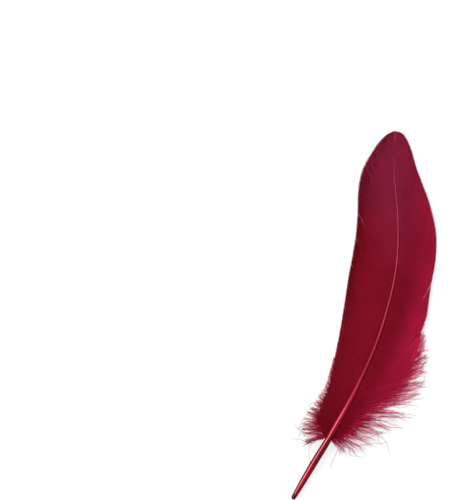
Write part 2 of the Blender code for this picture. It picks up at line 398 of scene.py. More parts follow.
@dataclass(frozen=True)
class Effects:
    """The shader node groups that the finishes share."""

    uneven_dye: Tree
    strand_grain: Tree

    @classmethod
    def build(cls) -> "Effects":
        """Makes each group once."""
        return cls(cls.make_uneven_dye(), cls.make_strand_grain())

    @staticmethod
    def make_uneven_dye() -> Tree:
        """Makes the group that lets a dyed colour vary over centimetres.

        Returns:
            The node group.
        """
        inputs = {
            "Dye": ("NodeSocketColor", (0.5, 0.0, 0.0, 1.0)),
            "Amount": ("NodeSocketFloat", 0.2),
            "Patches per metre": ("NodeSocketFloat", 60.0),
        }
        graph, given, put_out = new_group("uneven_dye", inputs, {"Colour": "NodeSocketColor"})
        where = graph.node("ShaderNodeTexCoord").outputs["Object"]
        noise = graph.node("ShaderNodeTexNoise", {
            "Vector": where, "Scale": given["Patches per metre"], "Detail": 3.0, "Roughness": 0.55,
        })
        swing = graph.maths("SUBTRACT", noise.outputs["Fac"], 0.5)
        lit = graph.maths("ADD", graph.times(swing, graph.times(given["Amount"], 4.0)), 1.0)
        colour = graph.node("ShaderNodeHueSaturation", {"Color": given["Dye"], "Value": lit})
        graph.feed(put_out, {"Colour": colour.outputs["Color"]})
        return graph.tree

    @staticmethod
    def make_strand_grain() -> Tree:
        """Makes the group of streaks that run along barbs, strands and the horn's fibres.

        Returns:
            The node group.
        """
        inputs = {
            "Along": ("NodeSocketFloat", 0.12),
            "Across": ("NodeSocketFloat", 2.0),
            "Darkest": ("NodeSocketFloat", 0.7),
        }
        outputs = {"Shade": "NodeSocketFloat", "Height": "NodeSocketFloat"}
        graph, given, put_out = new_group("strand_grain", inputs, outputs)
        along, across = graph.read_map(STRAND_MAP)
        stretched = graph.node("ShaderNodeCombineXYZ", {
            0: graph.times(along, given["Along"]),
            1: graph.times(across, given["Across"]),
        })
        noise = graph.node("ShaderNodeTexNoise", {
            "Vector": stretched.outputs[0], "Scale": 1.0, "Detail": 4.0, "Roughness": 0.62,
        })
        height = noise.outputs["Fac"]
        shade = graph.ramp(height, 0.30, 0.64, given["Darkest"], 1.0)
        graph.feed(put_out, {"Shade": shade, "Height": height})
        return graph.tree


@dataclass(frozen=True)
class Finish:
    """What every finish of the feather has: its effects, the shader's even values, its dye and its grain.

    The dye has its unevenness and its patches in a metre. The grain has its streaks in a millimetre
    along and across, and the shade of its darkest streak.
    """

    effects: Effects
    roughness: Span = (0.5, 0.7)
    gloss: float = 0.04
    sheen: float = 0.0
    sheen_tint: Triple = (1.0, 0.35, 0.50)
    sheen_roughness: float = 0.45
    coat: float = 0.0
    coat_roughness: float = 0.03
    bump: float = 0.3
    bump_depth: float = 0.00005
    even_streaks: Span = (0.35, 0.65)
    dye: Span = (0.14, 60.0)
    grain: Triple = (0.09, 1.5, 0.84)

    def colour(self, graph: Graph, share: Socket, row: Socket) -> Socket:
        """Each finish makes its own colour from a place in the unit square."""
        raise NotImplementedError

    def material(self, name: str) -> Material:
        """Makes the material.

        Args:
            name: Its name.

        Returns:
            The new material.
        """
        material = bpy.data.materials.new(name)
        material.use_nodes = True
        graph = Graph(material.node_tree)
        shader = graph.tree.nodes["Principled BSDF"]
        colour = self.colour(graph, *graph.read_map(BAKE_MAP))
        dyed = graph.place(self.effects.uneven_dye, colour, *self.dye)["Colour"]
        streaks = graph.place(self.effects.strand_grain, *self.grain)
        bumped = graph.node("ShaderNodeBump", {
            "Strength": self.bump, "Distance": self.bump_depth, "Height": streaks["Height"],
        })
        graph.feed(shader, {
            "Base Color": graph.blend(1.0, dyed, streaks["Shade"], "MULTIPLY"),
            "Roughness": graph.ramp(streaks["Height"], *self.even_streaks, *reversed(self.roughness)),
            "Normal": bumped.outputs["Normal"],
            "Specular IOR Level": self.gloss,
            "Sheen Weight": self.sheen,
            "Sheen Roughness": self.sheen_roughness,
            "Sheen Tint": (*self.sheen_tint, 1.0),
            "Coat Weight": self.coat,
            "Coat Roughness": self.coat_roughness,
        })
        return material


@dataclass(frozen=True)
class WebFinish(Finish):
    """Silky dyed barbs: crimson, darker towards the foot and purplish with a painted sheen towards the tip.

    The margin colour is painted shade on the left and painted light on the right, which stands for the white
    table's light coming through the thin barbs there. The loosened ends low down get painted light on the
    right, and the splits get painted shade, heavier on the left. Each pair of numbers is where something
    comes
    in: for rows, shares of the web from its foot to its tip, and for ends, shares of which 0.5 is a barb's
    end.
    """

    crimson: Triple = (0.208, 0.0030, 0.0160)
    # purplish towards the tip: partly dye, partly a painted sheen
    plum_with_painted_sheen: Triple = (0.210, 0.0110, 0.0380)
    deep: Triple = (0.150, 0.0014, 0.0078)
    # painted shade that darkens the splits between parted barbs
    painted_crease_shade: Triple = (0.055, 0.0006, 0.0030)
    roughness: Span = (0.55, 0.75)
    margin: Span = (0.15, 0.5)
    # margin colour: painted shade on the left, painted light on the right, for the table's light through the
    # thin barbs
    painted_rim_shading: Triple = (0.165, 0.0018, 0.0100)
    # loosened ends low down: the right web's lighter value is painted light
    ends: Triple = (0.208, 0.0030, 0.0160)
    # how strongly the painted shade darkens the splits
    crease_shade_strength: float = 0.75
    crease_grain: Triple = (0.16, 0.75, 1.0)
    deep_rows: Span = (0.20, 0.0)
    plum_rows: Span = (0.45, 0.92)
    rim_rows: Span = (0.0, 0.24)
    rim_fades: Span = (0.30, 0.85)
    loose_ends: Span = (0.38, 0.46)
    loose_rows: Span = (0.04, 0.26)
    loose_fades: Span = (0.22, 0.30)
    creased_ends: Span = (0.30, 0.42)
    creased_rows: Span = (0.16, 0.26)
    creased_streaks: Span = (0.53, 0.58)

    def colour(self, graph: Graph, share: Socket, row: Socket) -> Socket:
        """Makes the web's colour.

        Args:
            graph: The material's graph.
            share: The place along the barb.
            row: The barb's place from the web's foot to its tip.

        Returns:
            The colour, before unevenness and grain.
        """
        # streaks that place the painted shade in the splits
        streaks = graph.place(self.effects.strand_grain, *self.crease_grain)["Height"]
        return graph.layers(
            self.crimson,
            (self.deep, (row, *self.deep_rows, 0.0, 0.9)),
            # towards the tip: partly purplish dye, partly a painted sheen
            (self.plum_with_painted_sheen, (row, *self.plum_rows)),
            # painted shade on the left margin, painted light on the right one
            (self.painted_rim_shading, (share, *self.margin), (row, *self.rim_fades, 1.0, 0.18), (row, *self.rim_rows, 0.25)),
            # painted light on the loosened ends low down, on the right web
            (
                self.ends, (share, *self.loose_ends), (row, *self.loose_fades, 1.0, 0.0),
                (row, *self.loose_rows, 0.15),
            ),
            # painted shade in the splits between parted barbs
            (
                self.painted_crease_shade, (streaks, *self.creased_streaks, 0.0, self.crease_shade_strength),
                (share, *self.creased_ends), (row, *self.creased_rows),
            ),
        )


@dataclass(frozen=True)
class DownFinish(Finish):
    """Loose dyed down: strands that darken towards their ends and paler barbules.

    The pink of the roots and of the paler barbules is partly dye and partly painted light, which stands for
    the white table's light coming through the thin down; the left side's copy is painted darker. In the unit
    square the stems lie left of the middle and the barbules right of it.
    """

    crimson: Triple = (0.50, 0.007, 0.052)
    # roots higher up: partly dye, partly painted light from the table through the thin down
    raspberry_and_painted_glow: Triple = (0.90, 0.022, 0.150)
    ends: Triple = (0.16, 0.022, 0.048)
    # paler barbules: partly dye, partly painted light from the table through them
    haze_and_painted_glow: Triple = (0.98, 0.085, 0.340)
    roughness: Span = (0.7, 0.85)
    sheen: float = 0.25
    bump: float = 0.1
    dye: Span = (0.2, 250.0)
    grain: Triple = (0.8, 1.3, 0.75)
    brighter: Span = (0.0, 0.55)
    darker_stem: Span = (0.20, 0.44)
    middle: Span = (0.495, 0.50)
    paler_fringe: Span = (0.55, 0.72)

    def colour(self, graph: Graph, share: Socket, row: Socket) -> Socket:
        """Makes the down's colour.

        Args:
            graph: The material's graph.
            share: The place along the strand.
            row: The strand's place among the others.

        Returns:
            The colour, before unevenness and grain.
        """
        root = graph.layers(self.crimson, (self.raspberry_and_painted_glow, (row, *self.brighter)))
        stem = graph.layers(root, (self.ends, (share, *self.darker_stem)))
        fringe = graph.layers(root, (self.haze_and_painted_glow, (share, *self.paler_fringe)))
        return graph.layers(stem, (fringe, (share, *self.middle)))


@dataclass(frozen=True)
class HornFinish(Finish):
    """The dyed horn of quill and rachis: glossy red, with painted highlights and shade, and a darker open
    end.

    A light pink painted highlight runs along the top of the quill and narrows to a thin line on the rachis;
    painted shade darkens both sides, and a band of painted light covers the horn low on the rachis, where
    its right side lies in shade. Places along the horn and round it are shares, round it from its underside.
    """

    red: Triple = (0.335, 0.0022, 0.0145)
    # painted highlight along the top of the quill
    painted_highlight: Triple = (0.92, 0.230, 0.290)
    # painted highlight: a thin line along the rachis
    painted_rachis_highlight: Triple = (0.48, 0.044, 0.090)
    # painted shade on the horn's sides; the same colour darkens its open end
    side: Triple = (0.090, 0.0010, 0.0050)
    web: Triple = (0.235, 0.0030, 0.0165)
    # painted light over the horn low on the rachis, where its right side lies in shade
    painted_flank_light: Triple = (0.44, 0.0100, 0.0380)
    roughness: Span = (0.30, 0.45)
    gloss: float = 0.06
    coat: float = 0.04
    coat_roughness: float = 0.15
    bump: float = 0.15
    dye: Span = (0.12, 150.0)
    grain: Triple = (0.30, 1.3, 0.78)
    # where the painted shade on the sides begins, round from the underside
    middle: float = 0.455
    flanks: Span = (0.075, 0.125)
    # the middle of the painted highlight, round from the underside
    highlight_middle: float = 0.552
    stripe: Span = (0.040, 0.006)
    line: Span = (0.108, 0.030)
    open_end: Span = (0.022, 0.006)
    above_scar: Span = (0.088, 0.125)
    side_fades: Span = (0.12, 0.22)
    flank_starts: Span = (0.18, 0.235)
    flank_fades: Span = (0.26, 0.42)
    stripe_to_line: Span = (0.25, 0.32)
    line_grows: Span = (0.38, 0.60)
    line_fades: Span = (0.88, 0.97)

    def colour(self, graph: Graph, share: Socket, row: Socket) -> Socket:
        """Makes the horn's colour.

        Args:
            graph: The material's graph.
            share: The place along it.
            row: The place round it.

        Returns:
            The colour, before unevenness and grain.
        """
        # painted shade on the sides, fading into the web's colour up the rachis
        painted_side_shade = graph.layers(self.side, (self.web, (share, *self.side_fades)))
        # distance round from the middle of the painted highlight
        off_highlight = graph.away(row, self.highlight_middle)
        return graph.layers(
            self.red,
            (self.web, (share, *self.above_scar)),
            # painted shade on both sides
            (painted_side_shade, (graph.away(row, self.middle), *self.flanks)),
            # painted light over a band low on the rachis
            (self.painted_flank_light, (share, *self.flank_starts), (share, *self.flank_fades, 1.0, 0.0)),
            # painted highlight along the quill, fading out up the rachis
            (self.painted_highlight, (off_highlight, *self.stripe), (share, *self.stripe_to_line, 1.0, 0.0)),
            # painted highlight line along the rachis
            (
                self.painted_rachis_highlight, (off_highlight, *self.line), (share, *self.stripe_to_line),
                (share, *self.line_fades, 1.0, 0.0), (share, *self.line_grows, 0.42),
            ),
            (self.side, (share, *self.open_end, 0.0, 0.9)),
        )


@dataclass(frozen=True)
class Shaft:
    """Quill and rachis: their line over the table and their thickness.

    Curves run over shares: of the straight length for the sweep, of the shaft's own length for the rest.
    """

    straight: float = 180.0
    sweep: float = 19.7
    arch: float = 9.0
    quill_radius: float = 1.63
    end_share: float = 0.985
    rachis_height: float = 1.12
    rest_end: float = 9.5
    rest_middle: float = 4.5
    rachis_from: Span = (0.12, 0.30)
    groove: float = 0.34
    groove_width: float = 0.34
    groove_from: Span = (0.185, 0.24)
    fullness: float = 1.03
    scar: float = 17.4
    scar_ring: float = 0.030
    scar_length: float = 0.5
    sides: int = 28
    rings: int = 300
    rings_to_the_quill: float = 1.12
    end_rings: tuple[Span, ...] = (
        (0.18, 0.97), (0.42, 0.88), (0.66, 0.72), (0.84, 0.50), (0.94, 0.24),
    )
    scales: tuple[tuple[float, float, float, float], ...] = (
        (0.0, 172.0, 1.6, 0.34), (0.5, 158.0, 1.1, 0.42), (-1.9, 14.0, 1.2, 0.24),
        (-1.4, 32.0, 0.9, 0.18), (0.2, 108.0, 0.8, 0.10),
    )
    sweep_curve: Curve = Curve((
        (0.0, 0.0), (0.140, 0.345), (0.287, 0.716), (0.430, 0.950), (0.540, 1.0),
        (0.647, 0.950), (0.787, 0.655), (0.893, 0.295), (1.0, 0.030),
    ))
    arch_curve: Curve = Curve((
        (0.0, 0.150), (0.054, 0.166), (0.110, 0.265), (0.180, 0.450), (0.270, 0.690), (0.410, 0.930),
        (0.520, 1.0), (0.630, 0.930), (0.740, 0.720), (0.845, 0.420), (0.920, 0.205), (1.0, 0.030),
    ))
    lean_curve: Curve = Curve((
        (0.0, 0.0), (0.11, -0.05), (0.163, -0.20), (0.228, 0.28), (0.303, 0.50), (0.57, 0.50),
        (0.705, 0.46), (0.81, 0.48), (0.86, 0.30), (0.91, 0.20), (1.0, 0.18),
    ))
    taper_curve: Curve = Curve((
        (0.0, 0.66), (0.020, 0.80), (0.050, 0.92), (0.110, 1.0), (0.155, 0.99), (0.195, 0.87),
        (0.245, 0.69), (0.345, 0.53), (0.490, 0.405), (0.610, 0.32), (0.760, 0.235), (0.860, 0.165),
        (0.930, 0.10), (0.985, 0.045),
    ))

    def __post_init__(self) -> None:
        """Walks along the shaft once and keeps its line, its length and its heading."""
        y = np.linspace(0.0, 1.0, 721)
        plan = np.column_stack([self.sweep_curve.at(y)[:, 0] * self.sweep, y * self.straight])
        along = np.concatenate([[0.0], np.cumsum(np.hypot(*np.diff(plan, axis=0).T))])
        heading = np.gradient(plan, along, axis=0)
        heading /= np.hypot(heading[:, 0], heading[:, 1])[:, None]
        origin = np.array([np.interp(self.rest_middle, along, plan[:, k]) for k in (0, 1)])
        for name, value in (
            ("plan", plan - origin), ("along", along), ("heading", heading),
            ("length", float(along[-1])), ("origin", origin),
        ):
            object.__setattr__(self, name, value)

    def plan_at(self, along: Array, across: Array) -> Array:
        """Turns places on the feather into X and Y.

        Args:
            along: Distances along the shaft, of any shape.
            across: Distances across, of the same shape.

        Returns:
            X and Y on one more axis.
        """
        inside = np.clip(along, 0.0, self.length)
        foot = [np.interp(inside, self.along, self.plan[:, k]) for k in (0, 1)]
        ahead = [np.interp(inside, self.along, self.heading[:, k]) for k in (0, 1)]
        past = along - inside
        x = foot[0] + ahead[1] * across + ahead[0] * past
        y = foot[1] - ahead[0] * across + ahead[1] * past
        return np.stack([x, y], axis=-1)

    def half_width(self, along: Array) -> Array:
        """Half of the shaft's thickness seen from above."""
        return self.taper_curve.at(along / self.length)[..., 0] * self.quill_radius

    def half_height(self, along: Array) -> Array:
        """Half of the shaft's thickness seen from the side."""
        taller = np.interp(along / self.length, self.rachis_from, (1.0, self.rachis_height))
        return self.half_width(along) * taller

    def axis_height(self, along: Array) -> Array:
        """Finds how high the shaft's middle is.

        Args:
            along: Distances along the shaft.

        Returns:
            Heights over the table.
        """
        risen = self.arch_curve.at(along / self.length)[..., 0] * self.arch
        lying = self.half_height(along)
        return np.where(along < self.rest_end, lying, np.maximum(risen, lying))

    def build(self, material: Material) -> bpy.types.Object:
        """Makes quill and rachis as one tube, grooved underneath where the webs grow.

        Args:
            material: The horn's material.

        Returns:
            The piece.
        """
        rng = np.random.default_rng(11)
        spread = np.linspace(0.0, 1.0, self.rings)
        along = self.length * self.end_share * spread**self.rings_to_the_quill
        wide, high = self.half_width(along), self.half_height(along)
        turns = 2 * math.pi * (np.arange(self.sides) + 0.5) / self.sides - 0.5 * math.pi
        swelling = self.fullness + self.scar_ring * np.exp(-(((along - self.scar) / self.scar_length) ** 2))
        swelling -= 0.01 * ease((self.scar - along) / 2.0)
        dents = 1.0 + 0.006 * wander(along, 9.0, rng)[:, None] * np.sin(turns * 2 + 0.6)
        stout = swelling[:, None] * dents
        leaning = self.lean_curve.at(along / self.length)[..., 0]
        across = wide[:, None] * np.cos(turns) * stout - leaning[:, None]
        plan = self.plan_at(np.repeat(along[:, None], self.sides, 1), across)
        cut = np.interp(along / self.length, self.groove_from, (0.0, self.groove))[:, None]
        underneath = np.exp(-((np.cos(turns) / self.groove_width) ** 2)) * (np.sin(turns) < 0)
        height = self.axis_height(along)[:, None] + high[:, None] * (np.sin(turns) * stout + cut * underneath)
        rings = [np.concatenate([plan, height[..., None]], axis=-1)]
        for back, shrink in self.end_rings:
            end = self.plan_at(np.full(self.sides, -back), wide[0] * shrink * np.cos(turns))
            level = self.axis_height(along[:1]) + high[0] * (shrink * np.sin(turns) + 0.02)
            rings.insert(0, np.column_stack([end, level])[None])
        tube = np.concatenate(rings)
        tube[..., 2] = np.maximum(tube[..., 2], 0.0)
        skin = Skin()
        self.wrap(skin, tube)
        self.add_scales(skin)
        return skin.piece("shaft", material)

    def wrap(self, skin: Skin, tube: Array) -> None:
        """Closes a skin round rings of points.

        Args:
            skin: Where the faces go.
            tube: Points as rings, sides, three.
        """
        rings, sides = tube.shape[:2]
        number = np.arange(rings * sides).reshape(rings, sides)
        after = np.roll(number, -1, axis=1)
        ends = np.array([tube[0].mean(0), tube[-1].mean(0)])
        foot, tip = np.full(sides, rings * sides), np.full(sides, rings * sides + 1)
        caps = [np.column_stack([foot, after[0], number[0]]), np.column_stack([tip, number[-1], after[-1]])]
        along = distances(tube.mean(1))
        around = np.arange(sides) / sides
        strand = paired(along[:, None], 10.0 * around[None]).reshape(-1, 2)
        chart = paired(along[:, None] / along[-1], around[None]).reshape(-1, 2)
        strand = np.concatenate([strand, [[0.0, 5.0], [along[-1], 5.0]]])
        chart = np.concatenate([chart, [[0.0, 0.5], [1.0, 0.5]]])
        points = np.concatenate([tube.reshape(-1, 3), ends])
        skin.add(points, strand, chart, tube_quads(number), np.concatenate(caps))

    def add_scales(self, skin: Skin) -> None:
        """Adds the torn remains of the sheath that the quill grew in, as flat curling scales.

        Each has its distance past the scar, its angle round the quill, its length and its lift.

        Args:
            skin: The shaft's skin.
        """
        for apart, turn, length, lift in self.scales:
            rings = []
            for step in np.linspace(0.0, 1.0, 5):
                out = self.quill_radius * (0.985 + lift * step**2)
                half = math.radians(17.0) * (1.0 - 0.85 * step)
                angles = math.radians(turn) + half * np.array([-1.0, 0.0, 1.0, 0.0])
                depth = out + np.array([0.0, 0.035, 0.0, -0.035])
                place = np.full(4, self.scar + apart + length * step)
                plan = self.plan_at(place, depth * np.cos(angles))
                rings.append(np.column_stack([plan, self.axis_height(place) + depth * np.sin(angles)]))
            self.wrap(skin, np.array(rings))


@dataclass(frozen=True)
class WebSurface:
    """The cambered surface that the barbs of both sides lie in."""

    shaft: Shaft
    half_width: float = 22.0
    thickness: float = 0.55
    thinnest: float = 0.55
    with_shaft: float = 0.8
    above_axis: float = 0.15
    edge_thinning: float = 0.45
    power: float = 1.7
    softness: float = 0.5
    touch_depth: float = 0.03
    camber_curve: Curve = Curve((
        (0.15, 4.0), (0.32, 7.2), (0.50, 10.0), (0.70, 9.8), (0.86, 7.4), (1.0, 5.5),
    ))

    def solid_thickness(self, along: Array, share: Array) -> Array:
        """Thickness of the solid web there."""
        stout = self.shaft.half_height(along) / self.shaft.quill_radius
        return self.thickness * (self.thinnest + self.with_shaft * stout) * (1.0 - self.edge_thinning * share)

    def middle(self, along: Array, across: Array, share: Array) -> Array:
        """Height of the middle of the web.

        Args:
            along: Distances along the shaft.
            across: Distances across.
            share: Shares of the barbs there.

        Returns:
            Heights over the table.
        """
        thick = self.solid_thickness(along, share)
        meets = self.shaft.axis_height(along) + self.above_axis * self.shaft.half_height(along)
        at_shaft = meets - 0.5 * thick
        drop = self.camber_curve.at(along / self.shaft.length)[..., 0]
        free = at_shaft - drop * (np.abs(across) / self.half_width) ** self.power
        softened = 0.5 * (free + np.sqrt(free**2 + self.softness**2))
        return np.maximum(softened - self.touch_depth, 0.0) + 0.5 * thick


@dataclass(frozen=True)
class Split:
    """A place where two barbs have come unhooked: root and closed part as shares, gap at the edge in mm."""

    root: float
    closed: float
    gap: float


@dataclass(frozen=True)
class BarbTable:
    """The barbs of one side: roots, tips, hooked shares and bends, from the vane's foot to its tip."""

    side: Side
    surface: WebSurface
    rows: Curve
    splits: tuple[Split, ...]
    full_bend_from: float = math.radians(13.0)
    gap_fades: float = 2.4
    step: float = 0.20
    step_fades: float = 1.3

    def hooked(self, roots: Array) -> Array:
        """Share of each barb that is hooked into the web."""
        return np.minimum(self.rows.at(roots)[..., 2], 1.0)

    def lines(self, roots: Array, shares: Array) -> tuple[Array, Array]:
        """Follows barbs from their roots.

        Args:
            roots: One root for each barb, as a share of the shaft.
            shares: For each barb, a row of shares of its length.

        Returns:
            Distances along the shaft and across it, in the shape of the shares.
        """
        length = self.surface.shaft.length
        tip_along, tip_across, _, bend = (column[:, None] for column in self.rows.at(roots).T)
        start = roots[:, None] * length
        end, out = tip_along * length, tip_across * self.surface.half_width
        heading = np.arctan2(out, end - start)
        heading = heading + np.radians(bend) * np.minimum(1.0, heading / self.full_bend_from)
        reach = 0.5 * np.hypot(end - start, out)
        near, mid, far = (1 - shares) ** 2, 2 * shares * (1 - shares), shares**2
        along = near * start + mid * (start + reach * np.cos(heading)) + far * end
        across = mid * reach * np.sin(heading) + far * out
        return along, self.side.value * across

    def parted(self, roots: Array, grown: Array) -> tuple[Array, Array]:
        """How far the splits push barbs along the shaft and up.

        Args:
            roots: One root for each barb.
            grown: For each barb, a row of shares of its hooked part.

        Returns:
            Shifts along and up in millimetres, in the shape of the shares.
        """
        shift, rise = np.zeros_like(grown), np.zeros_like(grown)
        for split in self.splits:
            away = (roots - split.root)[:, None] * self.surface.shaft.length
            opening = np.clip((grown - split.closed) / (1.0 - split.closed), 0.0, 1.0) ** 1.25
            shift += 0.5 * split.gap * np.sign(away) * np.exp(-np.abs(away) / self.gap_fades) * opening
            lower = np.exp(-np.abs(away) / self.step_fades) * (away < 0)
            rise -= self.step * lower * np.clip(grown / split.closed, 0.0, 1.0) ** 6
        return shift, rise


# Hooked share and bend of the barbs that are hooked to their ends.
CLOSED = (1.0, 13)
LEFT_ROWS = Curve((
    (0.176, 0.118, 0.40, 0.16, -22), (0.184, 0.150, 0.66, 0.34, -20), (0.197, 0.188, 0.75, 0.58, -16),
    (0.216, 0.236, 0.70, 0.76, -8), (0.242, 0.290, 0.66, 0.88, 0), (0.275, 0.345, 0.72, 0.95, 8),
    (0.310, 0.402, 0.80, 0.99, 12),
    *((*row, *CLOSED) for row in (
        (0.350, 0.462, 0.88), (0.390, 0.524, 0.95), (0.430, 0.590, 1.00), (0.500, 0.665, 0.995),
        (0.575, 0.742, 0.935), (0.645, 0.803, 0.890), (0.715, 0.855, 0.835), (0.785, 0.903, 0.710),
        (0.845, 0.945, 0.500), (0.895, 0.975, 0.320), (0.935, 0.993, 0.150), (0.965, 1.0, 0.0),
    )),
))
RIGHT_ROWS = Curve((
    (0.176, 0.150, 0.46, 0.16, -22), (0.186, 0.176, 0.82, 0.30, -22), (0.200, 0.216, 1.02, 0.40, -20),
    (0.216, 0.270, 1.22, 0.38, -18), (0.238, 0.325, 1.36, 0.42, -15), (0.266, 0.374, 1.385, 0.58, -12),
    (0.298, 0.428, 1.28, 0.72, -6), (0.332, 0.478, 1.07, 0.85, 4), (0.360, 0.522, 0.88, 0.93, 11),
    *((*row, *CLOSED) for row in (
        (0.390, 0.556, 0.855), (0.425, 0.592, 0.815), (0.460, 0.627, 0.795), (0.505, 0.675, 0.820),
        (0.570, 0.742, 0.810), (0.635, 0.800, 0.710), (0.710, 0.860, 0.580), (0.780, 0.909, 0.470),
        (0.845, 0.950, 0.375), (0.898, 0.981, 0.260), (0.937, 0.996, 0.135), (0.965, 1.0, 0.0),
    )),
))


@dataclass(frozen=True)
class Web:
    """One web: several hundred barbs, each a closed blade whose flanges overlap the next barb's.

    The corners of a blade are given as places across it, heights over the web and places in its
    strip of the unit square. The last corner hangs down by the blade's own depth.
    """

    table: BarbTable
    seed: int
    first: float = 0.1775
    last: float = 0.9665
    pitch: float = 0.34
    steps: int = 26
    blade: float = 0.24
    ripple: float = 0.16
    ragged: float = 0.30
    straggle: float = 0.48
    fray: Span = (0.5, 1.7)
    tip_closes: Span = (0.88, 0.94)
    tip_fray: float = 0.25
    loosens: float = 0.12
    ripple_length: float = 13.0
    ruffle: float = 0.05
    ruffle_length: float = 2.3
    shortest: float = 4.0
    lowest: float = 0.02
    corners: tuple[tuple[float, float | None, float], ...] = (
        (-1.10, -0.035, 0.02), (0.0, 0.045, 0.5), (1.18, 0.0, 0.98), (0.0, None, 0.5),
    )

    def reaches(self, hooked: Array, lengths: Array, rng: Random) -> Array:
        """Finds where the blades end: just short of the margin, or a little way into the down.

        Args:
            hooked: Share of each barb that is hooked into the web.
            lengths: The barbs' lengths.
            rng: The source of the uneven ends.

        Returns:
            The share of its barb that each blade has.
        """
        short = rng.uniform(0.0, self.ragged, len(lengths)) / lengths
        straggling = self.straggle * (1.0 - hooked) ** 0.5 * rng.uniform(0.0, 1.0, len(lengths)) ** 1.3
        return np.minimum(hooked * (1.0 - short) + straggling, 1.0 - short)

    def build(self, material: Material) -> bpy.types.Object:
        """Makes the web.

        Args:
            material: The web's material.

        Returns:
            The piece.
        """
        table, surface = self.table, self.table.surface
        shaft = surface.shaft
        rng = np.random.default_rng(self.seed)
        count = int((self.last - self.first) * shaft.length / self.pitch)
        roots = np.linspace(self.first, self.last, count)
        hooked = table.hooked(roots)
        ends = table.lines(roots, np.ones((count, 1)))
        lengths = np.hypot(ends[0][:, 0] - roots * shaft.length, ends[1][:, 0])
        lengths = np.maximum(lengths, self.shortest)
        reach = self.reaches(hooked, lengths, rng)
        shares = np.linspace(0.0, 1.0, self.steps + 1)[None] ** 0.92 * reach[:, None]
        along, across = table.lines(roots, shares)
        grown = shares / reach[:, None]
        aside_u, aside_v = np.gradient(along, axis=0) * 0.5, np.gradient(across, axis=0) * 0.5
        shift, step = table.parted(roots, grown)
        along = along + shift
        closing = np.interp(roots, self.tip_closes, (1.0, self.tip_fray))
        fray = closing * rng.uniform(*self.fray, count) / lengths
        fray = (fray + 1.0 - 0.97 * np.minimum(hooked / reach, 1.0))[:, None]
        free = ease(np.clip((grown - (1.0 - fray)) / fray, 0.0, 1.0))
        fullness = 1.0 - (0.30 + 0.45 * ease((1.0 - hooked) / self.loosens)[:, None]) * free
        tip = np.clip((1.0 - np.linspace(0.0, 1.0, self.steps + 1)) * self.steps, 0.0, 1.0)[None]
        fullness = fullness * (0.12 + 0.88 * tip)
        deep = self.blade * (1.0 - 0.72 * grown) * (0.3 + 0.7 * tip) * (0.45 + 0.55 * fullness)
        rippled, ruffled = (
            wander(roots * shaft.length, period, rng)[:, None]
            for period in (self.ripple_length, self.ruffle_length)
        )
        wave = self.ripple * grown**1.5 * rippled + step + self.ruffle * grown * ruffled
        rows, charts = [], []
        for aside, rise, around in self.corners:
            u = along + aside_u * aside * fullness
            v = across + aside_v * aside * fullness
            level = surface.middle(u, v, np.clip(grown, 0.0, 1.0)) + wave
            level = level + (-deep if rise is None else rise * (0.5 + 0.5 * fullness))
            plan = shaft.plan_at(u, v)
            rows.append(np.concatenate([plan, np.maximum(level, self.lowest)[..., None]], axis=-1))
            share = 0.5 * grown if rise is not None else 1.0 - 0.5 * grown
            charts.append(paired(share, (np.arange(count)[:, None] + around) / count))
        own = roots[:, None, None] * shaft.length + 0.25 * self.pitch * np.array([-1, 0, 1, 0])
        strand = paired((grown * lengths[:, None])[..., None], own)
        skin = Skin()
        skin.add(np.stack(rows, axis=2), strand, np.stack(charts, axis=2), self.faces(count))
        return skin.piece(f"web_{table.side.name.lower()}", material)

    def faces(self, count: int) -> Array:
        """Finds the faces of all blades, whose sides go round the other way on the right.

        Args:
            count: How many blades there are.

        Returns:
            Quads as rows of point numbers.
        """
        number = np.arange(count * (self.steps + 1) * 4).reshape(count, -1, 4)
        ends = np.concatenate([number[:, 0, ::-1], number[:, -1]])
        if self.table.side is Side.LEFT:
            return np.concatenate([tube_quads(number), ends])
        return np.concatenate([tube_quads(number, (3, 2, 1, 0)), ends[:, ::-1]])


@dataclass(frozen=True)
class Lock:
    """Strands that cling together: root share, how closely, bend and rise in mm, share of length, curl."""

    root: float
    cling: float
    bow: float
    reach: float
    rise: float
    curl: float = 1.0


@dataclass(frozen=True)
class Strand:
    """A strand of down: its number, its points and the share of its loose length behind each."""

    number: int
    line: Array
    free: Array

    def __post_init__(self) -> None:
        """Keeps the share of the whole strand behind each point."""
        object.__setattr__(self, "grown", np.linspace(0.0, 1.0, len(self.line)))

    def frames(self) -> tuple[Array, Array, Array]:
        """Finds which way the strand goes.

        Returns:
            Unit vectors ahead, aside and up at each of its points.
        """
        ahead = np.gradient(self.line, axis=0)
        ahead /= np.linalg.norm(ahead, axis=1)[:, None]
        aside = np.cross(ahead, (0.0, 0.0, 1.0))
        aside /= np.linalg.norm(aside, axis=1)[:, None]
        return ahead, aside, np.cross(aside, ahead)


